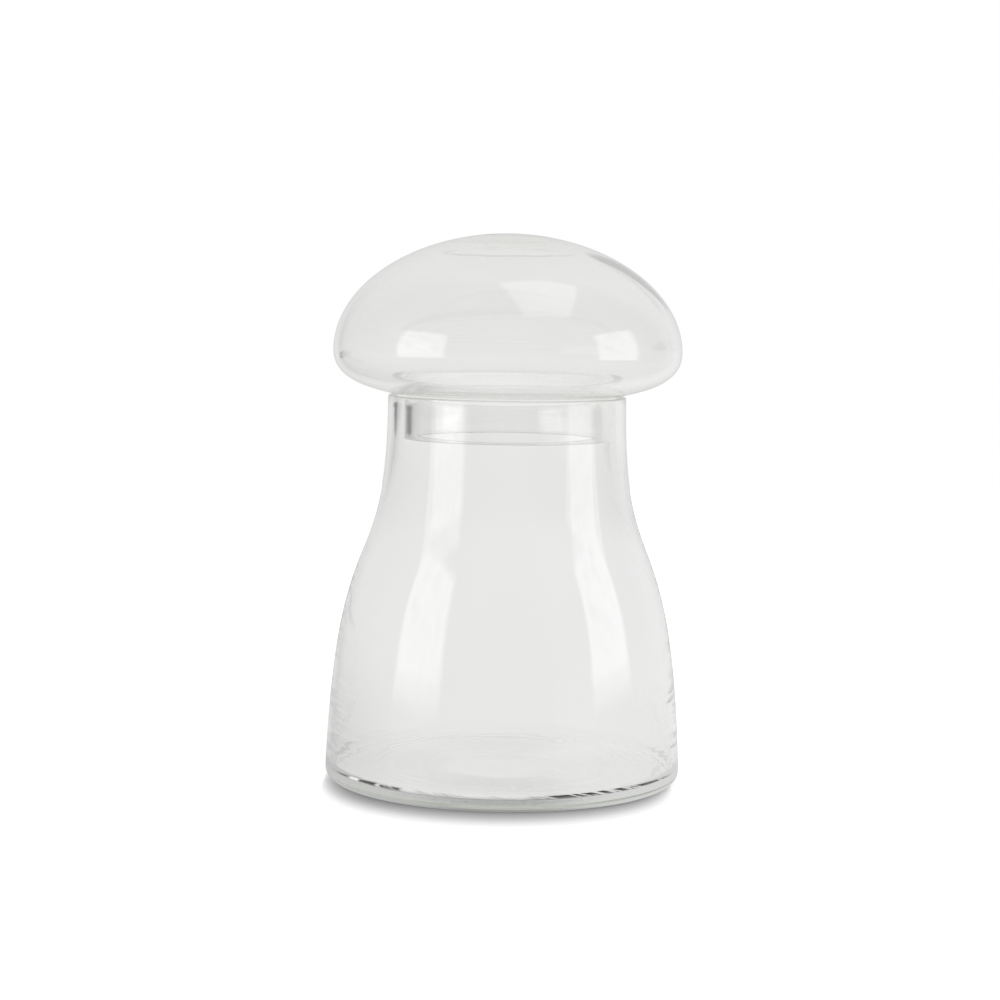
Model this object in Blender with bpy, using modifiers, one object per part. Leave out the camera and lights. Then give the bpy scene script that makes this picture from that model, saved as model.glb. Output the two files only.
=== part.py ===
# Glass terrarium: a blown jar with a wide belly, and a hollow blown lid like a mushroom cap.
# The lid rolls under to a collar that drops into the jar's neck, and it lifts straight off.
# Metres, +Z up. Both pieces are turned about Z, and the jar stands on z = 0.

import math

import bpy

# Jar, outside
JAR_HEIGHT = 0.1685  # standing face to the top of the rim
NECK_RADIUS = 0.0521  # outside of the straight neck
RIM_ROUND = 0.0007  # fire-polished edges of the rim
SHOULDER_HEIGHT = 0.0680  # where the flare meets the belly
SHOULDER_RADIUS = 0.0722
SHOULDER_FLARE = math.radians(10.9)  # lean of the wall from upright at the shoulder
FOOT_RADIUS = 0.0782  # widest, just above the foot
FOOT_CORNER = 0.0045  # rounding under the foot
PONTIL_RADIUS = 0.0255  # ground dish in the middle of the underside
PONTIL_DEPTH = 0.0005

# Jar, inside
NECK_WALL = 0.0038
BELLY_WALL = 0.0015  # where the glass was blown thinnest
FOOT_WALL = 0.0028
NECK_DEPTH = 0.0190  # stretch below the rim that keeps the full neck wall
THIN_HEIGHT = 0.0980  # height of the thinnest wall
FLOOR_THICKNESS = 0.0036
HEEL_RADIUS = 0.0090  # inside corner between wall and floor

# Lid
CAP_RADIUS = 0.0762  # widest, at the cap's equator
CROWN_RISE = 0.0511  # equator to apex
DOME_TAPER = 1.016  # 1 is an ellipse, more draws the dome in towards a slight peak
EQUATOR_RISE = 0.0196  # rim of the jar to the equator
LID_WALL = 0.0030
CROWN_THICKNESS = 0.0070  # solid glass over the flat ceiling
SEAT_TILT = math.radians(14)  # slope of the underside where it sits on the rim
COLLAR_DEPTH = 0.0188  # rim of the jar to the collar's lower edge
COLLAR_CLEARANCE = 0.0031  # gap all round between collar and neck bore
COLLAR_FILLET = 0.0010  # outside corner between underside and collar
LIP_ROUND = 0.0004  # softened edges of the collar's flat ground lip
REST_GAP = 0.0003  # lid's underside to the rim it rests on

# How full each free curve is, as shares of the height or width that it spans
NECK_PULL = 0.64
SHOULDER_PULL_UP = 0.42
SHOULDER_PULL_DOWN = 0.38
FOOT_PULL = 0.06
EQUATOR_PULL = 0.71
SEAT_PULL = 0.39

TURN_STEPS = 56
GLASS_COLOUR = (0.93, 0.95, 0.94, 1.0)
GLASS_IOR = 1.5


def curve(start, start_handle, end_handle, end, count):
    """Points of a cubic curve, without its first point."""
    points = []
    for i in range(1, count + 1):
        t = i / count
        weights = ((1 - t) ** 3, 3 * (1 - t) ** 2 * t, 3 * (1 - t) * t**2, t**3)
        controls = (start, start_handle, end_handle, end)
        x = sum(w * p[0] for w, p in zip(weights, controls))
        z = sum(w * p[1] for w, p in zip(weights, controls))
        points.append((x, z))
    return points


def arc(centre, radius, start, end, count):
    """Points of an arc from one angle to another, in degrees, with both ends."""
    points = []
    for i in range(count + 1):
        angle = math.radians(start + (end - start) * i / count)
        points.append((centre[0] + radius * math.cos(angle), centre[1] + radius * math.sin(angle)))
    return points


def dish(radius, depth, count):
    """Shallow spherical dish in a face at z = 0, from its edge in to the axis."""
    sphere = (radius**2 + depth**2) / (2 * depth)
    points = []
    for i in range(1, count + 1):
        x = radius * (1 - i / count)
        points.append((x, math.sqrt(sphere**2 - x**2) - (sphere - depth)))
    return points


def offset(points, distance):
    """The same outline, moved towards the inside of a profile that runs down its outer side."""
    moved = []
    last = len(points) - 1
    for i, (x, z) in enumerate(points):
        before = points[max(i - 1, 0)]
        after = points[min(i + 1, last)]
        run = (after[0] - before[0], after[1] - before[1])
        length = math.hypot(*run)
        moved.append((x + run[1] / length * distance, z - run[0] / length * distance))
    return moved


def radius_at(points, height):
    """Radius of a falling outline at a height."""
    for (x0, z0), (x1, z1) in zip(points, points[1:]):
        if z0 >= height >= z1 and z0 > z1:
            return x0 + (x1 - x0) * (z0 - height) / (z0 - z1)
    return points[0][0] if height > points[0][1] else points[-1][0]


def blend(start, end, share):
    """Passes smoothly from one value to another as share goes from 0 to 1."""
    share = min(max(share, 0), 1)
    return start + (end - start) * share * share * (3 - 2 * share)


def jar_outside():
    """Down the outer side: rounded rim, straight neck, flare, belly and rounded foot."""
    rim = arc((NECK_RADIUS - RIM_ROUND, JAR_HEIGHT - RIM_ROUND), RIM_ROUND, 90, 0, count=3)
    neck_end = rim[-1]
    shoulder = (SHOULDER_RADIUS, SHOULDER_HEIGHT)
    foot = (FOOT_RADIUS, FOOT_CORNER)
    lean = math.tan(SHOULDER_FLARE)
    above = neck_end[1] - SHOULDER_HEIGHT
    below = SHOULDER_HEIGHT - FOOT_CORNER
    up = above * SHOULDER_PULL_UP
    down = below * SHOULDER_PULL_DOWN
    flare = curve(
        neck_end,
        (NECK_RADIUS, neck_end[1] - above * NECK_PULL),
        (SHOULDER_RADIUS - lean * up, SHOULDER_HEIGHT + up),
        shoulder,
        count=12,
    )
    belly = curve(
        shoulder,
        (min(SHOULDER_RADIUS + lean * down, FOOT_RADIUS), SHOULDER_HEIGHT - down),
        (FOOT_RADIUS, FOOT_CORNER + below * FOOT_PULL),
        foot,
        count=7,
    )
    corner = arc((FOOT_RADIUS - FOOT_CORNER, FOOT_CORNER), FOOT_CORNER, 0, -90, count=3)
    return rim + flare + belly + corner[1:]


def wall_at(height):
    """Wall of the jar at a height: full in the neck, thinnest above the belly, thicker at the foot."""
    neck_foot = JAR_HEIGHT - NECK_DEPTH
    heel_top = FLOOR_THICKNESS + HEEL_RADIUS
    if height >= THIN_HEIGHT:
        return blend(BELLY_WALL, NECK_WALL, (height - THIN_HEIGHT) / (neck_foot - THIN_HEIGHT))
    return blend(FOOT_WALL, BELLY_WALL, (height - heel_top) / (THIN_HEIGHT - heel_top))


def jar_inside(outside):
    """From the middle of the floor out to the heel, up the wall and over to the rim."""
    heel_top = FLOOR_THICKNESS + HEEL_RADIUS
    heel_x = radius_at(outside, heel_top) - wall_at(heel_top)
    heel = arc((heel_x - HEEL_RADIUS, heel_top), HEEL_RADIUS, -90, 0, count=4)
    rim_foot = JAR_HEIGHT - RIM_ROUND
    rises = 15
    wall = []
    for i in range(1, rises):
        height = heel_top + (rim_foot - heel_top) * i / rises
        wall.append((radius_at(outside, height) - wall_at(height), height))
    bore = NECK_RADIUS - NECK_WALL
    rim = arc((bore + RIM_ROUND, rim_foot), RIM_ROUND, 180, 90, count=3)
    return [(0, FLOOR_THICKNESS)] + heel + wall + rim


def jar_profile():
    outside = jar_outside()
    return jar_inside(outside) + outside + [(PONTIL_RADIUS, 0)] + dish(PONTIL_RADIUS, PONTIL_DEPTH, count=3)


def seat_point():
    """Where the lid's underside passes the rounded inner edge of the rim. z = 0 is the rim's top."""
    reach = RIM_ROUND + REST_GAP
    bore = NECK_RADIUS - NECK_WALL
    return (bore + RIM_ROUND - reach * math.sin(SEAT_TILT), -RIM_ROUND + reach * math.cos(SEAT_TILT))


def collar_radius():
    return NECK_RADIUS - NECK_WALL - COLLAR_CLEARANCE


def lid_outside():
    """Down the outer side: dome, roll under the equator, seat, and the fillet into the collar."""
    dome = []
    rounds = 14
    for i in range(rounds + 1):
        angle = math.pi / 2 * i / rounds
        across = math.sin(angle) ** DOME_TAPER
        up = max(math.cos(angle), 0) ** DOME_TAPER
        dome.append((CAP_RADIUS * across, EQUATOR_RISE + CROWN_RISE * up))
    equator = dome[-1]
    seat = seat_point()
    width = equator[0] - seat[0]
    drop = equator[1] - seat[1]
    slope = math.tan(SEAT_TILT)
    under = curve(
        equator,
        (equator[0], equator[1] - drop * EQUATOR_PULL),
        (seat[0] + width * SEAT_PULL, seat[1] + width * SEAT_PULL * slope),
        seat,
        count=8,
    )
    side = collar_radius()
    room = (seat[0] - side) / (1 - math.sin(SEAT_TILT))
    fillet = min(COLLAR_FILLET, room * 0.9)
    along = seat[1] * math.cos(SEAT_TILT) - seat[0] * math.sin(SEAT_TILT)
    centre_x = side + fillet
    centre_z = (along - fillet + centre_x * math.sin(SEAT_TILT)) / math.cos(SEAT_TILT)
    turn = arc((centre_x, centre_z), fillet, 90 + math.degrees(SEAT_TILT), 180, count=4)
    return dome + under + turn


def lid_inside(outside):
    """The blown wall inside the lid, cut off by the flat ceiling under the thick crown."""
    ceiling = EQUATOR_RISE + CROWN_RISE - CROWN_THICKNESS
    inside = []
    previous = None
    for x, z in offset(outside, LID_WALL):
        if z < ceiling:
            if previous and previous[1] >= ceiling:
                share = (previous[1] - ceiling) / (previous[1] - z)
                inside.append((previous[0] + (x - previous[0]) * share, ceiling))
            inside.append((x, z))
        previous = (x, z)
    return [(0, ceiling)] + inside


def lid_profile():
    outside = lid_outside()
    outer = collar_radius() - LIP_ROUND
    inner = collar_radius() - LID_WALL + LIP_ROUND
    height = LIP_ROUND - COLLAR_DEPTH
    lip = arc((outer, height), LIP_ROUND, 0, -90, count=2)
    lip += arc((inner, height), LIP_ROUND, -90, -180, count=2)
    return outside + lip + lid_inside(outside)[::-1]


def glass(name):
    material = bpy.data.materials.new(name)
    material.use_nodes = True
    shader = material.node_tree.nodes["Principled BSDF"]
    shader.inputs["Base Color"].default_value = GLASS_COLOUR
    shader.inputs["Roughness"].default_value = 0.02
    shader.inputs["Metallic"].default_value = 0
    shader.inputs["IOR"].default_value = GLASS_IOR
    shader.inputs["Transmission Weight"].default_value = 1
    return material


def turned(name, profile, collection, material):
    """A piece turned about its own Z axis from a profile that runs down its outer side."""
    mesh = bpy.data.meshes.new(name)
    corners = [(x, 0, z) for x, z in profile]
    edges = [(i, i + 1) for i in range(len(corners) - 1)]
    mesh.from_pydata(corners, edges, [])
    mesh.materials.append(material)
    piece = bpy.data.objects.new(name, mesh)
    collection.objects.link(piece)
    spin = piece.modifiers.new("turn", "SCREW")
    spin.axis = "Z"
    spin.angle = math.tau
    spin.steps = TURN_STEPS
    spin.render_steps = TURN_STEPS
    spin.use_merge_vertices = True
    spin.merge_threshold = 0.00001
    spin.use_smooth_shade = True
    return piece


def main():
    for old in list(bpy.data.objects):
        bpy.data.objects.remove(old, do_unlink=True)
    collection = bpy.data.collections.new("glass_terrarium")
    bpy.context.scene.collection.children.link(collection)

    turned("jar", jar_profile(), collection, glass("jar_glass"))

    lift = bpy.data.objects.new("lid_lift", None)
    lift.location = (0, 0, JAR_HEIGHT)
    collection.objects.link(lift)
    lid = turned("lid", lid_profile(), collection, glass("lid_glass"))
    lid.parent = lift


main()
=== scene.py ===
import math

import bmesh
import bpy
from mathutils import Matrix, Vector, noise


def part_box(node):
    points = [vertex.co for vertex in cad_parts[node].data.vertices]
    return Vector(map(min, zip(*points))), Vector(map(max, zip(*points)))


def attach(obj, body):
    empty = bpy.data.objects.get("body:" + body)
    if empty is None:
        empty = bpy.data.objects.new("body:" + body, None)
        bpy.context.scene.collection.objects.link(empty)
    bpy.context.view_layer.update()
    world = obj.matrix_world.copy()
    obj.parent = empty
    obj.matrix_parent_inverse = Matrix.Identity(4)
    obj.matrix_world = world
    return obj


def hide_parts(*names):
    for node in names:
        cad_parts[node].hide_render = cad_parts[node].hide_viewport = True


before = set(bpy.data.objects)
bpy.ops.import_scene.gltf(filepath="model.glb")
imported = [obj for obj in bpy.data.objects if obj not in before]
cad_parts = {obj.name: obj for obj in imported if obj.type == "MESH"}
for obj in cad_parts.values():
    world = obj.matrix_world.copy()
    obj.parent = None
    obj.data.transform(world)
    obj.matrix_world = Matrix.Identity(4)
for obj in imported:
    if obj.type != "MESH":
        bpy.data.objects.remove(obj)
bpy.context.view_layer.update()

mm = 0.001  # lengths below are millimetres times this
perRadian = math.degrees(1)


# Outlines are lists of points, each a radius and a height

def bezier(start, startHandle, endHandle, end, count):
    points = []
    controls = (start, startHandle, endHandle, end)
    for i in range(1, count + 1):
        t = i / count
        weights = ((1 - t) ** 3, 3 * (1 - t) ** 2 * t, 3 * (1 - t) * t * t, t ** 3)
        points.append(tuple(sum(w * p[k] for w, p in zip(weights, controls)) for k in (0, 1)))
    return points


def arc(centre, radius, first, last, count):
    # from the first to the last angle in degrees, both ends included
    points = []
    for i in range(count + 1):
        angle = math.radians(first + (last - first) * i / count)
        points.append((centre[0] + radius * math.cos(angle), centre[1] + radius * math.sin(angle)))
    return points


def straight(start, end, count):
    return [tuple(a + (b - a) * i / count for a, b in zip(start, end)) for i in range(1, count + 1)]


def fade(value, start, end):
    # 0 at start and 1 at end, smooth between
    share = min(max((value - start) / (end - start), 0), 1)
    return share * share * (3 - 2 * share)


def radiusAt(points, height):
    # radius of a downward outline at a height
    for (x0, z0), (x1, z1) in zip(points, points[1:]):
        if z0 >= height >= z1 and z0 > z1:
            return x0 + (x1 - x0) * (z0 - height) / (z0 - z1)
    return points[0][0]


def inwards(points, distance):
    # the same outline moved towards the inside of the glass
    moved = []
    for i, (x, z) in enumerate(points):
        before, after = points[max(i - 1, 0)], points[min(i + 1, len(points) - 1)]
        run = Vector((after[0] - before[0], after[1] - before[1])).normalized()
        moved.append((x + run.y * distance, z - run.x * distance))
    return moved


# The jar: sizes that the frame doesn't give. Its height and its foot's width come from the CAD node.
jarSpec = {
    "steps": 344,  # around
    "neckRadius": 52.1 * mm,
    "rimRound": 0.7 * mm,
    "shoulderHeight": 68.0 * mm,
    "shoulderRadius": 72.2 * mm,
    "shoulderFlare": 10.9,  # degrees from upright
    "neckPull": 0.64,  # how far each curve holds its direction
    "shoulderPullUp": 0.42,
    "shoulderPullDown": 0.38,
    "footPull": 0.06,
    "footCorner": 4.5 * mm,
    "neckWall": 3.8 * mm,
    "bellyWall": 1.5 * mm,
    "footWall": 2.8 * mm,
    "neckDepth": 19.0 * mm,  # stretch below the rim with the full wall
    "thinHeight": 98.0 * mm,  # where the wall is thinnest
    "floorThickness": 4.7 * mm,
    "heelRadius": 4.4 * mm,
    "pontilRadius": 25.5 * mm,  # ground hollow under the floor
    "pontilDepth": 0.05 * mm,
    "fineTop": 45 * mm,  # rows of the inside wall: heel to here, on to the wrinkles' top, on to the rim
    "wallRows": (60, 16, 26),
    # hand-blown unevenness
    "calm": (14 * mm, 4 * mm),  # it fades out between these depths below the rim
    "wave": 0.05 * mm,  # slow waves of both surfaces
    "waveAround": 2.2,  # how quickly they change round the axis
    "waveUp": 38 * mm,
    "insideSeed": 7.3,  # keeps the inside's waves unlike the outside's
    "outsideFrom": (5 * mm, 17 * mm),  # heights between which the outside's waves start
    "wrinkle": 0.15 * mm,  # chill wrinkles around the inside, strongest above the foot
    "wrinkleAround": 3,
    "wrinkleTall": 1.8 * mm,
    "wrinkleTop": 76 * mm,
    "wrinkleAbove": 0.15,  # share of them above that height
    "wrinkleFront": 0.12,  # and in front and behind
    "wrinkleBeside": (0.75, 0.95),  # how far to the sides, in radii, they start and are full
    "wrinkleBehind": (0.2, -0.2),  # how far to the back they end and are full
    "heelRise": 0.1 * mm,  # above the floor, where the wall's unevenness takes over from the floor's
    "heelWave": 0.12 * mm,  # uneven inside corner
    "heelWaves": 11,
    "heelWaveTall": 9 * mm,
    "heelWaveFull": 3 * mm,  # height above the floor at which it is full
    "heelWaveTop": (8 * mm, 17 * mm),  # heights between which it fades out
    "ripple": 0.06 * mm,  # rings in the floor, just inside the heel
    "rippleWidth": 4.2 * mm,
    "rippleFrom": 48 * mm,
    "rippleFade": 8 * mm,
    "rippleAround": 2.4,  # how quickly they come and go round the axis
    "rippleOut": 9 * mm,  # and from one ring to the next
    "rippleMore": 0.35,  # how much more of them than half shows
    "wander": 1.5 * mm,  # how far they leave a circle
    "wanderAround": 1.5,
    "wanderSeed": 8.8,
    "sink": 0.05 * mm,  # shallow round hollow in the floor, a little off the middle
    "sinkRadius": 26 * mm,
    "sinkEdge": 7 * mm,
    "sinkUneven": 0.35,
    "sinkSpots": 14 * mm,
    "sinkSeed": 4.2,
    "sinkCentre": (-6 * mm, 0),
}


def jarOutside(spec, height, footRadius):
    # from the rim down to the standing face
    rimFoot = height - spec["rimRound"]
    rim = arc((spec["neckRadius"] - spec["rimRound"], rimFoot), spec["rimRound"], 90, 0, count=8)
    lean = math.tan(math.radians(spec["shoulderFlare"]))
    shoulder = (spec["shoulderRadius"], spec["shoulderHeight"])
    above = rimFoot - shoulder[1]
    below = shoulder[1] - spec["footCorner"]
    up = above * spec["shoulderPullUp"]
    down = below * spec["shoulderPullDown"]
    flare = bezier(rim[-1], (spec["neckRadius"], rimFoot - above * spec["neckPull"]),
                   (shoulder[0] - lean * up, shoulder[1] + up), shoulder, count=40)
    foot = (footRadius, spec["footCorner"])
    belly = bezier(shoulder, (min(shoulder[0] + lean * down, footRadius), shoulder[1] - down),
                   (footRadius, foot[1] + below * spec["footPull"]), foot, count=28)
    corner = arc((footRadius - foot[1], foot[1]), foot[1], 0, -90, count=10)[1:]
    return rim + flare + belly + corner


def jarInside(spec, height, outside):
    # from the middle of the floor up to the rim
    heelTop = spec["floorThickness"] + spec["heelRadius"]
    neckFoot = height - spec["neckDepth"]
    rimFoot = height - spec["rimRound"]
    thin = spec["thinHeight"]

    def wallAt(z):
        if z >= thin:
            return spec["bellyWall"] + (spec["neckWall"] - spec["bellyWall"]) * fade(z, thin, neckFoot)
        return spec["footWall"] + (spec["bellyWall"] - spec["footWall"]) * fade(z, heelTop, thin)

    heelX = radiusAt(outside, heelTop) - wallAt(heelTop)
    heel = arc((heelX - spec["heelRadius"], heelTop), spec["heelRadius"], -90, 0, count=14)
    levels = (heelTop, spec["fineTop"], spec["wrinkleTop"], rimFoot)
    rows = []
    for low, high, count in zip(levels, levels[1:], spec["wallRows"]):
        rows += [low + (high - low) * i / count for i in range(1, count + 1)]
    wall = [(radiusAt(outside, z) - wallAt(z), z) for z in rows[:-1]]
    bore = spec["neckRadius"] - spec["neckWall"]
    rim = arc((bore + spec["rimRound"], rimFoot), spec["rimRound"], 180, 90, count=8)
    middle = (0, spec["floorThickness"])
    ripples = (spec["rippleFrom"], spec["floorThickness"])
    floor = [middle] + straight(middle, ripples, count=16) + straight(ripples, heel[0], count=22)
    return floor + heel[1:] + wall + rim


def jarUnder(spec, edge, rows=8):
    # from the edge of the standing face in to the axis, over the ground hollow
    sphere = (spec["pontilRadius"] ** 2 + spec["pontilDepth"] ** 2) / (2 * spec["pontilDepth"])
    under = straight(edge, (spec["pontilRadius"], 0), count=6)
    for i in range(1, rows + 1):
        x = spec["pontilRadius"] * (1 - i / rows)
        under.append((x, math.sqrt(sphere ** 2 - x ** 2) - (sphere - spec["pontilDepth"])))
    return under


def jarProfile(spec, height, footRadius):
    outside = jarOutside(spec, height, footRadius)
    return jarInside(spec, height, outside) + outside + jarUnder(spec, outside[-1])


def noiseAround(turn, many, along):
    # noise that closes round the axis, from about -1 to 1
    return noise.noise(Vector((math.cos(turn) * many, math.sin(turn) * many, along)))


# Finer waves on the slow ones of blown glass, measured against those
fineWaves = {"height": 0.3, "around": 2.9, "up": 2.1, "seed": 5}


def waves(spec, turn, height, seed):
    along = height / spec["waveUp"] + seed
    slow = noiseAround(turn, spec["waveAround"], along)
    fine = noiseAround(turn, spec["waveAround"] * fineWaves["around"],
                       along * fineWaves["up"] + fineWaves["seed"])
    return slow + fineWaves["height"] * fine


def floorShift(spec, point, turn):
    cx, cy = spec["sinkCentre"]
    away = math.hypot(point.x - cx, point.y - cy)
    wide = spec["sinkSpots"]
    spots = noise.noise(Vector((point.x / wide, point.y / wide, spec["sinkSeed"])))
    hollow = fade(away, spec["sinkRadius"], spec["sinkRadius"] - spec["sinkEdge"])
    hollow *= 1 + spec["sinkUneven"] * spots
    radius = math.hypot(point.x, point.y)
    ring = radius + spec["wander"] * noiseAround(turn, spec["wanderAround"], spec["wanderSeed"])
    shown = noiseAround(turn, spec["rippleAround"], radius / spec["rippleOut"]) + spec["rippleMore"]
    strong = max(shown, 0) * fade(radius, spec["rippleFrom"], spec["rippleFrom"] + spec["rippleFade"])
    rippled = math.sin(math.tau * ring / spec["rippleWidth"]) * strong
    return spec["ripple"] * rippled - spec["sink"] * hollow


def wallShift(spec, point, turn, upper):
    bottom = spec["floorThickness"]
    low = fade(point.z, spec["wrinkleTop"], bottom + spec["heelRadius"])
    beside = fade(abs(math.cos(turn)), *spec["wrinkleBeside"])
    beside *= fade(math.sin(turn), *spec["wrinkleBehind"])
    strong = spec["wrinkleAbove"] + (1 - spec["wrinkleAbove"]) * low
    strong *= spec["wrinkleFront"] + (1 - spec["wrinkleFront"]) * beside
    crease = noiseAround(turn, spec["wrinkleAround"], point.z / spec["wrinkleTall"]) * strong
    full, none = spec["heelWaveTop"]
    corner = fade(point.z, bottom, bottom + spec["heelWaveFull"]) * fade(point.z, none, full)
    heel = noiseAround(turn, spec["heelWaves"], point.z / spec["heelWaveTall"]) * corner
    slow = waves(spec, turn, point.z, spec["insideSeed"])
    return (spec["wave"] * slow + spec["wrinkle"] * crease) * upper + spec["heelWave"] * heel


levelFrom = 0.9  # a normal's z, up or down, from which its face counts as level


def jarUneven(spec, height):
    calmFrom, calmTo = (height - depth for depth in spec["calm"])

    def move(point, normal):
        # how far a point of the jar moves along its normal
        turn = math.atan2(point.y, point.x)
        if normal.z < -levelFrom and point.z < spec["floorThickness"] / 2:
            return 0  # the standing face stays flat
        if normal.z > levelFrom and point.z < spec["floorThickness"] + spec["heelRise"]:
            return floorShift(spec, point, turn)
        upper = fade(point.z, calmTo, calmFrom)
        if normal.x * point.x + normal.y * point.y < 0:
            return wallShift(spec, point, turn, upper)
        lower = fade(point.z, *spec["outsideFrom"])
        return spec["wave"] * waves(spec, turn, point.z, 0) * upper * lower
    return move


# The lid, measured from the jar's rim. Its width comes from the CAD node.
lidSpec = {
    "steps": 384,
    "crownRise": 51.1 * mm,
    "domeTaper": 1.016,  # 1 is an ellipse
    "equatorRise": 19.6 * mm,
    "wall": 3.0 * mm,
    "crownThickness": 7.0 * mm,
    "seatTilt": 14.0,  # degrees
    "collarDepth": 18.8 * mm,
    "collarClearance": 3.1 * mm,
    "collarFillet": 1.0 * mm,
    "lipRound": 0.4 * mm,
    "restGap": 0.3 * mm,
    "equatorPull": 0.71,
    "seatPull": 0.39,
    "wave": 0.04 * mm,
    "waveAround": 1.8,
    "waveUp": 30 * mm,
    "insideSeed": 3.1,
    "waveFrom": (3 * mm, 11 * mm),  # heights above the rim between which the waves start
    "waveBelow": (0.5 * mm, 4.5 * mm),  # and depths below the ceiling, on the inside
}


def lidOutside(spec, jar, capRadius, domeRows=64):
    # dome and underside, from the apex to the seat on the rim, which is at z = 0
    tilt = math.radians(spec["seatTilt"])
    bore = jar["neckRadius"] - jar["neckWall"]
    reach = jar["rimRound"] + spec["restGap"]
    seat = (bore + jar["rimRound"] - reach * math.sin(tilt), -jar["rimRound"] + reach * math.cos(tilt))
    dome = []
    for i in range(domeRows + 1):
        angle = math.pi / 2 * i / domeRows
        across = math.sin(angle) ** spec["domeTaper"]
        up = max(math.cos(angle), 0) ** spec["domeTaper"]
        dome.append((capRadius * across, spec["equatorRise"] + spec["crownRise"] * up))
    equator = dome[-1]
    drop = (equator[1] - seat[1]) * spec["equatorPull"]
    back = (capRadius - seat[0]) * spec["seatPull"]
    under = bezier(equator, (capRadius, equator[1] - drop),
                   (seat[0] + back, seat[1] + back * math.tan(tilt)), seat, count=36)
    return dome + under


def cutAt(points, ceiling):
    # what lies below the ceiling of an outline that starts above it
    below = []
    for (x0, z0), (x1, z1) in zip(points, points[1:]):
        if z1 < ceiling <= z0:
            below.append((x0 + (x1 - x0) * (z0 - ceiling) / (z0 - z1), ceiling))
        if z1 < ceiling:
            below.append((x1, z1))
    return below


def lidProfile(spec, jar, capRadius):
    tilt = math.radians(spec["seatTilt"])
    outside = lidOutside(spec, jar, capRadius)
    shell = inwards(outside, spec["wall"])
    seat = outside[-1]
    side = jar["neckRadius"] - jar["neckWall"] - spec["collarClearance"]
    sideIn = side - spec["wall"]

    # outside, a tight fillet from the seat into the collar
    filletX = side + spec["collarFillet"]
    along = seat[1] * math.cos(tilt) - seat[0] * math.sin(tilt)
    filletZ = (along - spec["collarFillet"] + filletX * math.sin(tilt)) / math.cos(tilt)
    outside += arc((filletX, filletZ), spec["collarFillet"], 90 + spec["seatTilt"], 180, count=10)

    edge = spec["lipRound"]
    bottom = -spec["collarDepth"]
    lip = arc((side - edge, bottom + edge), edge, 0, -90, count=5)
    lip += straight(lip[-1], (sideIn + edge, bottom), count=6)
    lip += arc((sideIn + edge, bottom + edge), edge, -90, -180, count=5)[1:]

    # inside, one wide curve from above the seat into the collar
    wide = (shell[-1][0] - sideIn) / (1 - math.sin(tilt))
    centre = (sideIn + wide, shell[-1][1] - wide * math.cos(tilt))
    shell += arc(centre, wide, 90 + spec["seatTilt"], 180, count=14)[1:]
    ceiling = spec["equatorRise"] + spec["crownRise"] - spec["crownThickness"]
    inside = cutAt(shell, ceiling)[::-1]
    # a point close to either side keeps the corner of the ceiling crisp
    inside[-1:] = straight(inside[-2], inside[-1], count=20)[-2:]
    flat = [(inside[-1][0] - 0.05 * mm, ceiling)]
    flat += straight(flat[-1], (0, ceiling), count=12)
    collar = straight(outside[-1], lip[0], count=8)[:-1]
    collarIn = straight(lip[-1], inside[0], count=8)[:-1]
    return outside + collar + lip + collarIn + inside + flat


def lidUneven(spec, rim):
    ceiling = rim + spec["equatorRise"] + spec["crownRise"] - spec["crownThickness"]
    start, full = (rim + height for height in spec["waveFrom"])
    flat, wavy = (ceiling - depth for depth in spec["waveBelow"])

    def move(point, normal):
        # how far a point of the lid moves along its normal
        turn = math.atan2(point.y, point.x)
        inside = normal.x * point.x + normal.y * point.y < 0
        share = fade(point.z, start, full)
        if inside or normal.z < -levelFrom:
            share *= fade(point.z, flat, wavy)  # the ceiling stays flat
        return spec["wave"] * waves(spec, turn, point.z, spec["insideSeed"] if inside else 0) * share
    return move


def turned(name, profile, steps, move, lift=0):
    bm = bmesh.new()
    verts = [bm.verts.new((x, 0, z + lift)) for x, z in profile]
    edges = [bm.edges.new(pair) for pair in zip(verts, verts[1:])]
    bmesh.ops.spin(bm, geom=verts + edges, axis=(0, 0, 1), cent=(0, 0, 0), angle=math.tau,
                   steps=steps, use_merge=True)
    bmesh.ops.remove_doubles(bm, verts=bm.verts, dist=0.002 * mm)
    bmesh.ops.recalc_face_normals(bm, faces=bm.faces)
    bm.normal_update()
    shifts = [(vert, vert.normal * move(vert.co, vert.normal)) for vert in bm.verts]
    for vert, shift in shifts:
        vert.co += shift
    mesh = bpy.data.meshes.new(name)
    bm.to_mesh(mesh)
    bm.free()
    mesh.shade_smooth()
    piece = bpy.data.objects.new(name, mesh)
    bpy.context.scene.collection.objects.link(piece)
    print(name, "has", len(mesh.polygons), "faces")
    return piece


class Flow:
    # a shader value: plain maths on it adds Math nodes
    def __init__(self, graph, socket):
        self.graph, self.socket = graph, socket

    def maths(self, operation, *others):
        return self.graph.maths(operation, self, *others)

    def __add__(self, other):
        return self.maths("ADD", other)

    def __sub__(self, other):
        return self.maths("SUBTRACT", other)

    def __mul__(self, other):
        return self.maths("MULTIPLY", other)

    def __truediv__(self, other):
        return self.maths("DIVIDE", other)

    def __pow__(self, other):
        return self.maths("POWER", other)

    def __rsub__(self, other):
        return self.graph.maths("SUBTRACT", other, self)

    def __rtruediv__(self, other):
        return self.graph.maths("DIVIDE", other, self)

    __radd__, __rmul__ = __add__, __mul__


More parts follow.
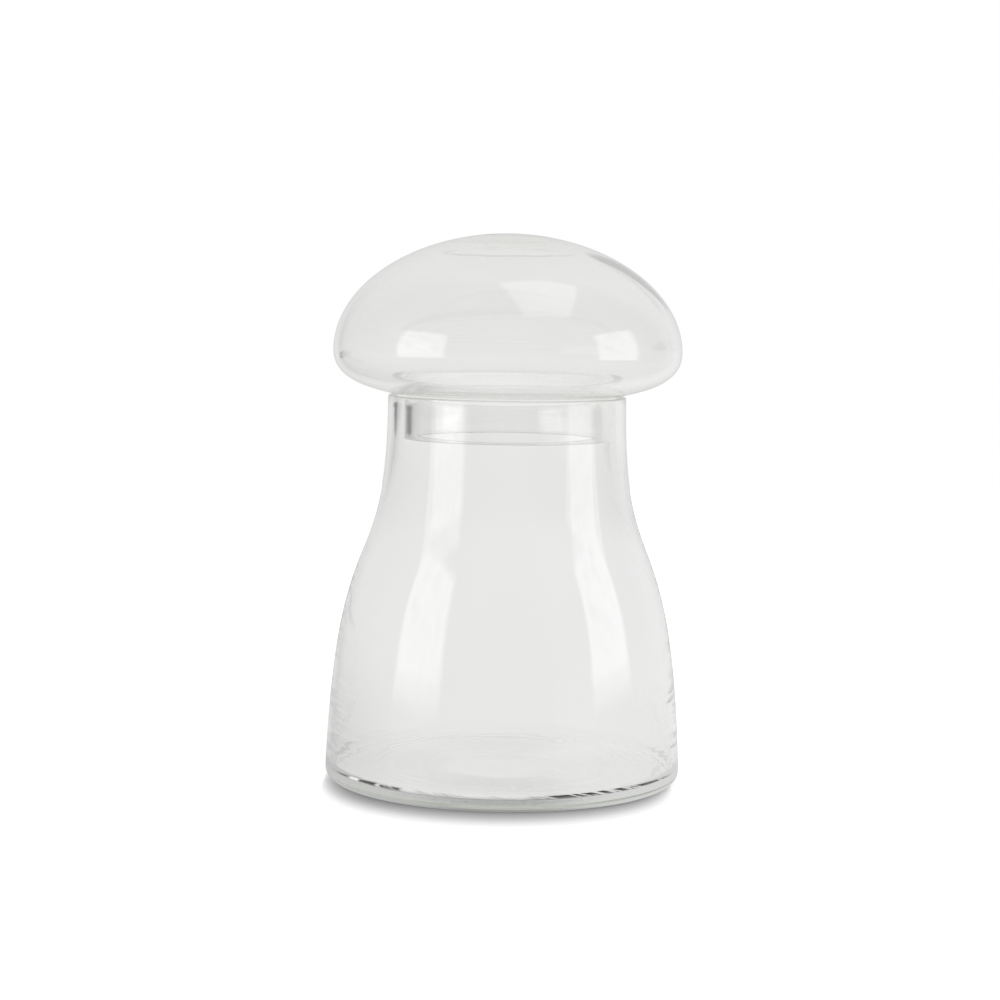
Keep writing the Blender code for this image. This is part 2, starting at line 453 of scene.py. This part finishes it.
class Graph:
    # the nodes of one material, world or lamp
    def __init__(self, tree):
        self.tree = tree
        tree.nodes.clear()

    def find(self, sockets, key):
        # by number, or by name among those in use
        if isinstance(key, int):
            return sockets[key]
        return [socket for socket in sockets if socket.enabled and socket.name == key][0]

    def add(self, kind, settings=None, sockets=None, out=0):
        node = self.tree.nodes.new(kind)
        for key, value in (settings or {}).items():
            setattr(node, key, value)
        for key, value in (sockets or {}).items():
            socket = self.find(node.inputs, key)
            if isinstance(value, Flow):
                self.tree.links.new(value.socket, socket)
            else:
                socket.default_value = value
        if node.outputs:
            return Flow(self, self.find(node.outputs, out))

    def maths(self, operation, *values):
        return self.add("ShaderNodeMath", {"operation": operation}, dict(enumerate(values)))


def softStep(value, low, high):
    # 0 at low and 1 at high, smooth between; low may be the larger one
    return value.graph.add("ShaderNodeMapRange", {"interpolation_type": "SMOOTHSTEP"},
                           {"Value": value, "From Min": low, "From Max": high})


def mixed(g, share, first, second):
    return g.add("ShaderNodeMix", {"data_type": "RGBA"}, {"Factor": share, "A": first, "B": second}, "Result")


def cloudy(g, place, scale, detail, roughness=0.5, distortion=0):
    return g.add("ShaderNodeTexNoise", {}, {"Vector": place, "Scale": scale, "Detail": detail,
                                            "Roughness": roughness, "Distortion": distortion}, "Fac")


def axes(g, vector, names):
    return [g.add("ShaderNodeSeparateXYZ", {}, {0: vector}, name) for name in names]


def lightPath(g, fact):
    return g.add("ShaderNodeLightPath", {}, {}, fact)


def crossedBetween(g, first, last, soft=0.1):
    # 1 for a ray that has gone through from first to last surfaces of glass
    crossed = lightPath(g, "Transmission Depth")
    return softStep(crossed, first - soft, first + soft) * softStep(crossed, last + soft, last - soft)


def newMaterial(name):
    material = bpy.data.materials.new(name)
    material.use_nodes = True
    return material, Graph(material.node_tree)


glassLook = {
    "ior": 1.5,
    "clearTint": (0.985, 0.985, 0.983, 1),
    "thickTint": (0.965, 0.966, 0.962, 1),
    "paintedEdgeShade": (0.55, 0.56, 0.53, 1),  # painted shade: dark lines at the rim, the lip and the ceiling's corner
    "depthTint": (0.72, 0.75, 0.695, 1),  # what a long way through the glass leaves
    "depthDensity": 10.0,
    "broad": {"scale": 18, "detail": 2, "roughness": 0.4},  # clouds of the tint and of the bump
    "bump": 0.05,
    "bumpHeight": 1 * mm,
    "roughness": 0.004,
    "smudge": 0.012,
    "smudges": {"scale": 60, "detail": 4, "roughness": 0.6},
    "streaks": {"scale": 45, "detail": 2},
    "streaksFlat": (1, 1, 7),
    "streaksBetween": (0.38, 0.62),
    "spentAfter": 4.5,  # reflections, past which a path ends inside the glass
}

# Light in the paths that end inside the glass: dull and bright streaks, and a plain colour that takes
# over from one height to another
jarTrapped = {
    "dull": (0.52, 0.53, 0.505, 1),
    "bright": (0.80, 0.805, 0.785, 1),
    "plain": (0.72, 0.72, 0.70, 1),
    "plainBetween": (120 * mm, 132 * mm),
}
lidTrapped = {
    "dull": (0.90, 0.90, 0.885, 1),
    "bright": (0.94, 0.94, 0.925, 1),
    "plain": (0.87, 0.865, 0.85, 1),
    "plainBetween": (190 * mm, 180 * mm),
}


bandSoft = {"height": 0.1 * mm, "radius": 0.2 * mm, "depth": 8 * mm}  # over what each end fades


def paintedEdgeLines(place, bands):
    # painted shade: dark bands of height, kept within a radius or behind a place where they say so
    x, y, height = axes(place.graph, place, "XYZ")
    radius = (x * x + y * y) ** 0.5
    total = 0
    for band in bands:
        middle, half = (band["low"] + band["high"]) / 2, (band["high"] - band["low"]) / 2
        share = softStep((height - middle).maths("ABSOLUTE"), half + bandSoft["height"], half)
        if "within" in band:
            share = share * softStep(radius, band["within"] + bandSoft["radius"], band["within"])
        if "behind" in band:
            share = share * softStep(y, band["behind"], band["behind"] + bandSoft["depth"])
        total = share + total
    return total


def trappedColour(g, place, look, colours):
    flat = g.add("ShaderNodeMapping", {}, {"Vector": place, "Scale": look["streaksFlat"]})
    streaks = softStep(cloudy(g, flat, **look["streaks"]), *look["streaksBetween"])
    streaked = mixed(g, streaks, colours["dull"], colours["bright"])
    height, = axes(g, place, "Z")
    held = mixed(g, softStep(height, *colours["plainBetween"]), streaked, colours["plain"])
    spent = lightPath(g, "Glossy Depth").maths("GREATER_THAN", look["spentAfter"])
    return mixed(g, spent, (0, 0, 0, 1), held)


def clearGlass(name, look, trapped, edges):
    material, g = newMaterial(name)
    place = g.add("ShaderNodeTexCoord", {}, {}, "Object")
    broad = cloudy(g, place, **look["broad"])
    tint = mixed(g, broad, look["clearTint"], look["thickTint"])
    # painted shade: dark lines at the rim, the lip and the ceiling's corner
    tint = mixed(g, paintedEdgeLines(place, edges), tint, look["paintedEdgeShade"])
    bump = g.add("ShaderNodeBump", {}, {"Strength": look["bump"], "Distance": look["bumpHeight"],
                                        "Height": broad}, "Normal")
    smudge = cloudy(g, place, **look["smudges"])
    shader = g.add("ShaderNodeBsdfPrincipled", {}, {
        "Base Color": tint,
        "Roughness": smudge * look["smudge"] + look["roughness"],
        "IOR": look["ior"],
        "Transmission Weight": 1.0,
        "Emission Color": trappedColour(g, place, look, trapped),
        "Emission Strength": 1.0,
        "Normal": bump,
    })
    depth = g.add("ShaderNodeVolumeAbsorption", {}, {"Color": look["depthTint"],
                                                     "Density": look["depthDensity"]})
    g.add("ShaderNodeOutputMaterial", {}, {"Surface": shader, "Volume": depth})
    material.cycles.emission_sampling = "NONE"
    return material


# What each kind of ray meets beyond the object, where 1 is white. Directions are in degrees: azimuth 0
# is straight behind the object and positive to the right, and rise is above the horizon.
studio = {
    "seen": 1.0,
    "through": 0.84,
    "lower": 0.885,  # through glass and downwards
    "lowerBetween": (3, -4),
    "throughThree": 1.08,  # share of it through three walls, which are the lid's and the neck's
    "threeBetween": (-5, -7),
    "threeSurfaces": (5, 7),
    "leftFlag": 0.66,  # share of the light that is left far out on the left
    "leftBetween": (-0.2, -0.7),  # how far out, as a sine, it starts and is full
    "flags": [  # azimuth, rise, half width, half height, level
        (-41, -4.5, 12, 2.6, 0.2),
        (15, 16, 6, 9, 0.6),
    ],
    "flagEdge": (1.4, 0.6),
    "mirrored": 0.35,
    "mirroredLeft": 0.2,  # more of it towards either side and behind the object
    "mirroredRight": 0.35,
    "mirroredBehind": 0.3,
    "sideBetween": (0.2, 0.9),  # sine and cosine of the azimuth between which these start and are full
    "behindBetween": (0.3, 0.9),
    "lighting": 0.6,
}


def rayKinds(g):
    # what the last bounce was: a ray through glass counts as glossy too
    kinds = {kind: lightPath(g, f"Is {kind} Ray") for kind in ("Camera", "Transmission", "Glossy", "Diffuse")}
    kinds["Mirror"] = kinds["Glossy"] * (1 - kinds["Transmission"])
    return kinds


def pastFlags(azimuth, rise, levels):
    share = 1
    for centre, height, halfWidth, halfHeight, kept in levels["flags"]:
        away = ((azimuth - centre) / halfWidth) ** 2 + ((rise - height) / halfHeight) ** 2
        share = (1 - (1 - kept) * softStep(away, *levels["flagEdge"])) * share
    return share


def seenThrough(azimuth, rise, levels):
    # what a ray that left the glass meets
    lowered = softStep(rise, *levels["lowerBetween"])
    level = levels["through"] + (levels["lower"] - levels["through"]) * lowered
    sideways = (azimuth / perRadian).maths("SINE") * (rise / perRadian).maths("COSINE")
    level = level * (1 - softStep(sideways, *levels["leftBetween"]) * (1 - levels["leftFlag"]))
    three = crossedBetween(azimuth.graph, *levels["threeSurfaces"])
    three = three * softStep(rise, *levels["threeBetween"])
    level = level * (three * (levels["throughThree"] - 1) + 1)
    return level * pastFlags(azimuth, rise, levels)


def mirroredFrom(azimuth, levels):
    # what a reflected ray meets
    across = (azimuth / perRadian).maths("SINE")
    ahead = (azimuth / perRadian).maths("COSINE")
    start, full = levels["sideBetween"]
    left = softStep(across, -start, -full) * levels["mirroredLeft"]
    right = softStep(across, start, full) * levels["mirroredRight"]
    behind = softStep(ahead, *levels["behindBetween"]) * levels["mirroredBehind"]
    return left + right + behind + levels["mirrored"]


def makeWorld(levels):
    world = bpy.data.worlds.new("studio")
    bpy.context.scene.world = world
    world.use_nodes = True
    g = Graph(world.node_tree)
    rays = rayKinds(g)
    x, y, z = axes(g, g.add("ShaderNodeTexCoord", {}, {}, "Generated"), "XYZ")
    azimuth = x.maths("ARCTAN2", y) * perRadian
    rise = z.maths("ARCSINE") * perRadian
    strength = (rays["Camera"] * levels["seen"] + rays["Mirror"] * mirroredFrom(azimuth, levels)
                + rays["Transmission"] * seenThrough(azimuth, rise, levels)
                + rays["Diffuse"] * levels["lighting"])
    shade = g.add("ShaderNodeBackground", {}, {"Color": (1, 1, 1, 1), "Strength": strength})
    g.add("ShaderNodeOutputWorld", {}, {"Surface": shade})


floorSpec = {
    "size": 3,
    "colour": 0.8,
    "seen": 0.62,  # glow for the camera, which rises to white away from the object
    "openBetween": (200 * mm, 500 * mm),
    "eyeHeight": 150 * mm,  # height from which the floor joins on to the world behind it
    "depth": 0.80,  # how dark the shadow is at the foot
    "shadowForward": 15.2 * mm,
    "shadowAside": -2.1 * mm,
    "shadowRadius": 76 * mm,
    "shadowSoft": 15.2 * mm,
    "shadowEnds": 10 * mm,
    # painted shade, and one painted light patch, where the foot meets the floor, seen only through the heel's
    # glass
    "paintedUnderFoot": [  # degrees from the front, half width, radius, half width, depth, share of teeth
        (45, 36, 68 * mm, 15 * mm, 0.98, 1),
        (-70, 8, 70 * mm, 9 * mm, 0.85, 0),
        (-59, 3, 71 * mm, 9 * mm, -0.45, 0),
        (-52, 5, 70 * mm, 9 * mm, 0.98, 0),
        (-41, 5, 70 * mm, 8 * mm, 0.95, 0.5),
    ],
    "paintedPatchEdge": (1.1, 0.7),
    "heelFrom": (65 * mm, 69 * mm),
    "heelTo": (85 * mm, 81 * mm),
    "heelSurfaces": (2.6, 2.4),  # a ray through the heel crosses two, one through the jar's air more
    "teeth": 27,  # how finely they are split
    "teethSlant": 10.5,
    "teethLong": 30,
    "teethBetween": (0.40, 0.46),
    # painted mottled shade under the heel
    "mottle": 0.35,
    "mottles": {"scale": 2.3, "detail": 2},
    "mottleBetween": (0.45, 0.62),
}


def footShadow(x, y, spec):
    # soft shadow of the foot, drawn a little to the front
    aside = x - spec["shadowAside"]
    halfSquared = spec["shadowRadius"] ** 2 - aside * aside
    half = (halfSquared.maths("MAXIMUM", 0) + mm ** 2) ** 0.5
    ahead = y + spec["shadowForward"]
    near = ((half - ahead) / spec["shadowSoft"]).maths("TANH")
    far = ((half + ahead) / spec["shadowSoft"]).maths("TANH")
    ends = ((aside.maths("ABSOLUTE") - spec["shadowRadius"]) / spec["shadowEnds"]).maths("TANH")
    return (near + far) * (1 - ends) * (spec["depth"] / 4)


def leftUnderFoot(x, y, radius, spec):
    # share of the light that the painted shade patches, teeth and mottles under the foot leave
    g = x.graph
    fromFront = x.maths("ARCTAN2", 0 - y)
    leaning = fromFront + radius * spec["teethSlant"]
    fingers = g.add("ShaderNodeCombineXYZ", {}, {0: leaning.maths("COSINE") * spec["teeth"],
                                                 1: leaning.maths("SINE") * spec["teeth"],
                                                 2: radius * spec["teethLong"]})
    split = softStep(cloudy(g, fingers, scale=1, detail=0), *spec["teethBetween"])
    # only under the heel, and not through the air inside the jar
    underHeel = softStep(lightPath(g, "Transmission Depth"), *spec["heelSurfaces"])
    underHeel = underHeel * softStep(radius, *spec["heelFrom"]) * softStep(radius, *spec["heelTo"])
    mottled = softStep(cloudy(g, fingers, **spec["mottles"]), *spec["mottleBetween"])
    left = 1 - mottled * underHeel * spec["mottle"]
    for centre, halfWidth, ring, ringWidth, depth, teeth in spec["paintedUnderFoot"]:
        along = ((fromFront * perRadian - centre) / halfWidth).maths("ABSOLUTE")
        across = ((radius - ring) / ringWidth).maths("ABSOLUTE")
        patch = softStep(along, *spec["paintedPatchEdge"]) * softStep(across, *spec["paintedPatchEdge"]) * underHeel
        left = (1 - patch * (1 - teeth * (1 - split)) * depth) * left
    return left


def floorMaterial(spec, levels):
    material, g = newMaterial("paleFloor")
    rays = rayKinds(g)
    x, y = axes(g, g.add("ShaderNodeTexCoord", {}, {}, "Object"), "XY")
    radius = (x * x + y * y) ** 0.5
    shade = 1 - footShadow(x, y, spec)
    lit = g.add("ShaderNodeBsdfDiffuse", {}, {"Color": shade * spec["colour"]})
    outer = softStep(radius, *spec["openBetween"])
    seen = rays["Camera"] * (spec["seen"] + (1 - spec["seen"]) * outer) * shade
    glow = g.add("ShaderNodeEmission", {}, {"Strength": seen})
    plain = g.add("ShaderNodeAddShader", {}, {0: lit, 1: glow})

    # glass shows the floor as more of the studio
    azimuth = x.maths("ARCTAN2", y) * perRadian
    rise = (spec["eyeHeight"] / radius).maths("ARCTANGENT") * -perRadian
    # painted shade and light under the foot, seen only through the heel
    level = seenThrough(azimuth, rise, levels) * leftUnderFoot(x, y, radius, spec)
    beyond = g.add("ShaderNodeEmission", {}, {"Strength": level})
    mirror = g.add("ShaderNodeEmission", {}, {"Strength": mirroredFrom(azimuth, levels)})
    behindGlass = g.add("ShaderNodeMixShader", {}, {0: rays["Mirror"], 1: beyond, 2: mirror})
    byGlass = rays["Glossy"].maths("MAXIMUM", rays["Transmission"])
    surface = g.add("ShaderNodeMixShader", {}, {0: byGlass, 1: plain, 2: behindGlass})
    g.add("ShaderNodeOutputMaterial", {}, {"Surface": surface})
    return material


def makeFloor(spec, levels):
    bpy.ops.mesh.primitive_plane_add(size=spec["size"])
    floor = bpy.context.object
    floor.name = "floor"
    floor.data.materials.append(floorMaterial(spec, levels))


def around(azimuth, distance, height):
    # azimuth in degrees from the camera's side, positive to the right
    angle = math.radians(azimuth)
    return (distance * math.sin(angle), -distance * math.cos(angle), height)


# Each one's surface is even in the middle and fades towards its edges. Deep inside the glass, from a
# number of surfaces on, only a share of its light is seen, as behind a honeycomb.
softboxes = [
    {"name": "leftBox", "place": around(-57, 0.8, 0.30), "aim": (0, 0, 0.30), "size": (0.54, 0.58),
     "turn": 0, "level": 1.5, "cloud": 0.35, "fade": 0.1, "deep": 0.35, "deepFrom": 3},
    {"name": "rightBox", "place": around(75, 0.8, 0.30), "aim": (0, 0, 0.30), "size": (0.50, 0.58),
     "turn": 0, "level": 1.5, "cloud": 0.35, "fade": 0.1, "deep": 0.35, "deepFrom": 3},
    {"name": "topBox", "place": (0.34, -0.31, 1.2), "aim": (0.34, -0.31, 0), "size": (0.64, 0.94),
     "turn": 18, "level": 1.2, "cloud": 0, "fade": 0.08, "deep": 0.2, "deepFrom": 2},
]
boxClouds = {"scale": 6, "detail": 3, "distortion": 1}
boxCloudsBetween = (0.45, 0.7)
deepTo = 6  # surfaces


def softbox(spec):
    lamp = bpy.data.lights.new(spec["name"], "AREA")
    lamp.shape = "RECTANGLE"
    lamp.size, lamp.size_y = spec["size"]
    lamp.energy = math.pi * lamp.size * lamp.size_y  # makes the levels below those of its surface
    lamp.use_nodes = True
    g = Graph(lamp.node_tree)
    spot = g.add("ShaderNodeNewGeometry", {}, {}, "Parametric")
    level = spec["level"]
    for part in axes(g, spot, "XY"):
        level = softStep(part, 0, spec["fade"]) * softStep(part, 1, 1 - spec["fade"]) * level
    cloud = softStep(cloudy(g, spot, **boxClouds), *boxCloudsBetween)
    level = (1 - cloud * spec["cloud"]) * level
    deep = crossedBetween(g, spec["deepFrom"] - 0.5, deepTo + 0.5)
    glow = g.add("ShaderNodeEmission", {}, {"Strength": level * (1 - deep * (1 - spec["deep"]))})
    g.add("ShaderNodeOutputLight", {}, {"Surface": glow})
    box = bpy.data.objects.new(spec["name"], lamp)
    towards = (Vector(spec["aim"]) - Vector(spec["place"])).to_track_quat("-Z", "Y").to_matrix().to_4x4()
    turn = Matrix.Rotation(math.radians(spec["turn"]), 4, "Z")
    box.matrix_world = Matrix.Translation(spec["place"]) @ towards @ turn
    bpy.context.scene.collection.objects.link(box)


cameraSpec = {
    "distance": 1.008,  # level distance from the object's axis
    "height": 0.2143,
    "sideways": -0.0025,
    "pitchDown": 5.2,  # degrees
    "roll": 0.83,  # the object leans a little to the right in the photograph
    "lens": 82.8,
    "sensor": 36,
    "nearest": 0.05,
}


def makeCamera(spec):
    lens = bpy.data.cameras.new("camera")
    lens.lens = spec["lens"]
    lens.sensor_width = spec["sensor"]
    lens.clip_start = spec["nearest"]
    camera = bpy.data.objects.new("camera", lens)
    tip = Matrix.Rotation(math.radians(90 - spec["pitchDown"]), 4, "X")
    roll = Matrix.Rotation(math.radians(spec["roll"]), 4, "Z")
    place = Matrix.Translation((spec["sideways"], -spec["distance"], spec["height"]))
    camera.matrix_world = place @ tip @ roll
    bpy.context.scene.collection.objects.link(camera)
    bpy.context.scene.camera = camera


def replaceWith(piece, node, material):
    piece.data.materials.append(material)
    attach(piece, node)
    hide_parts(node)


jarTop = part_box("jar")[1]
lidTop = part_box("lid")[1]
jarHeight, footRadius = jarTop.z, jarTop.x
capRadius = lidTop.x

print("turning the jar")
jar = turned("jar_glass", jarProfile(jarSpec, jarHeight, footRadius), jarSpec["steps"],
             jarUneven(jarSpec, jarHeight))
# painted shade: a dark line along the top of the rim
jarPaintedEdges = [{"low": jarHeight - 0.4 * mm, "high": jarHeight + 0.2 * mm}]
replaceWith(jar, "jar", clearGlass("jarGlass", glassLook, jarTrapped, jarPaintedEdges))

print("turning the lid")
lid = turned("lid_glass", lidProfile(lidSpec, jarSpec, capRadius), lidSpec["steps"],
             lidUneven(lidSpec, jarHeight), lift=jarHeight)
lip = jarHeight - lidSpec["collarDepth"]
ceiling = lidTop.z - lidSpec["crownThickness"]
# painted shade: dark lines at the lip, and at the ceiling's corner on its far side
lidPaintedEdges = [
    {"low": lip - 0.2 * mm, "high": lip + 0.3 * mm},
    {"low": ceiling - 0.4 * mm, "high": ceiling - 0.1 * mm, "within": 33 * mm, "behind": 0},
]
replaceWith(lid, "lid", clearGlass("lidGlass", glassLook, lidTrapped, lidPaintedEdges))

print("setting up the floor, the studio and the camera")
makeFloor(floorSpec, studio)
makeWorld(studio)
for spec in softboxes:
    softbox(spec)
makeCamera(cameraSpec)
bpy.context.scene.view_settings.view_transform = "Standard"
